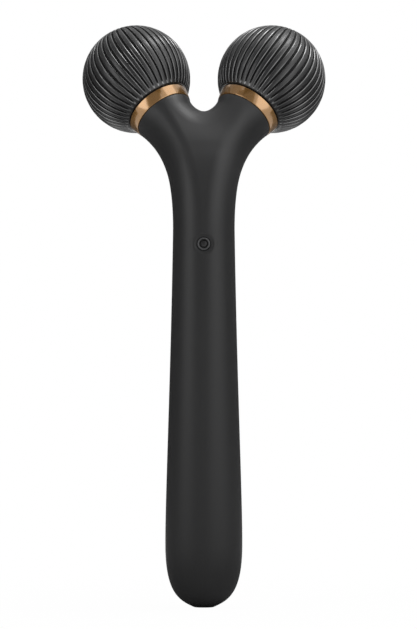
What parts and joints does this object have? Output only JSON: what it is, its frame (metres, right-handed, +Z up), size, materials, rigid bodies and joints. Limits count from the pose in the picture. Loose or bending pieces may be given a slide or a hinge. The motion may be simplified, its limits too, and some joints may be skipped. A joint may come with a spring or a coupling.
{
  "type": "facial roller",
  "caption": "Y-shaped hand-held facial roller: ribbed balls spin on splayed, leaned-back arms with plated collars; push button on the neck, charging port at the tip.",
  "frame": {"origin": "centre of the charging port's mouth at the lower tip of the handle", "axes": "+Z up along the handle, -Y the side of the button, +X to the right of someone who looks at the button"},
  "size_m": [0.0676, 0.0459, 0.16],
  "materials": {
    "housing": "soft-touch matt black",
    "balls": "satin black",
    "collars": "polished rose-gold plate",
    "steel": "turned",
    "bushes": "sintered bronze",
    "washers": "natural",
    "yoke": "die-cast",
    "socket": "moulded",
    "seals": "matt",
    "cell": "shrink-sleeved",
    "chassis": "moulded",
    "board": "solder mask",
    "chips": "moulded",
    "switch": "moulded",
    "button": "satin, with a bright rim",
    "motor": "drawn can",
    "weight": "sintered",
    "leads": "insulated"
  },
  "bodies": {
    "handle": {"front_shell": "housing", "rear_shell": "housing", "axle_yoke": "yoke", "left_axle": "steel", "left_clip": "steel", "left_washer": "washers", "left_collar": "collars", "right_axle": "steel", "right_clip": "steel", "right_washer": "washers", "right_collar": "collars", "charge_socket": "socket", "socket_gasket": "seals", "battery_cell": "cell", "battery_pad": "seals", "chassis": "chassis", "main_board": "board", "board_chips": "chips", "tact_switch": "switch", "board_screws": "steel", "button_gasket": "seals", "motor_can": "motor", "motor_sleeve": "seals", "battery_leads": "leads", "motor_leads": "leads"},
    "left_roller": {"left_ball": "balls", "left_bush": "bushes", "left_cap": "balls"},
    "right_roller": {"right_ball": "balls", "right_bush": "bushes", "right_cap": "balls"},
    "button": {"power_button": "button"},
    "rotor": {"motor_shaft": "steel", "eccentric_weight": "weight"}
  },
  "joints": [
    {"name": "left_ball_spin", "type": "hinge", "parent": "handle", "child": "left_roller", "pos_m": [-0.01881, 0.02069, 0.14509], "axis": [-0.5329, 0.4484, 0.7176], "continuous": true},
    {"name": "right_ball_spin", "type": "hinge", "parent": "handle", "child": "right_roller", "pos_m": [0.01881, 0.02069, 0.14509], "axis": [0.5329, 0.4484, 0.7176], "continuous": true},
    {"name": "button_press", "type": "slide", "parent": "handle", "child": "button", "axis": [0, 1, 0], "range_m": [0, 0.0004], "stiffness_N_per_m": 500, "springref_m": -0.001},
    {"name": "rotor_spin", "type": "hinge", "parent": "handle", "child": "rotor", "pos_m": [0, 0.003, 0.0795], "axis": [0, 0, 1], "continuous": true}
  ]
}
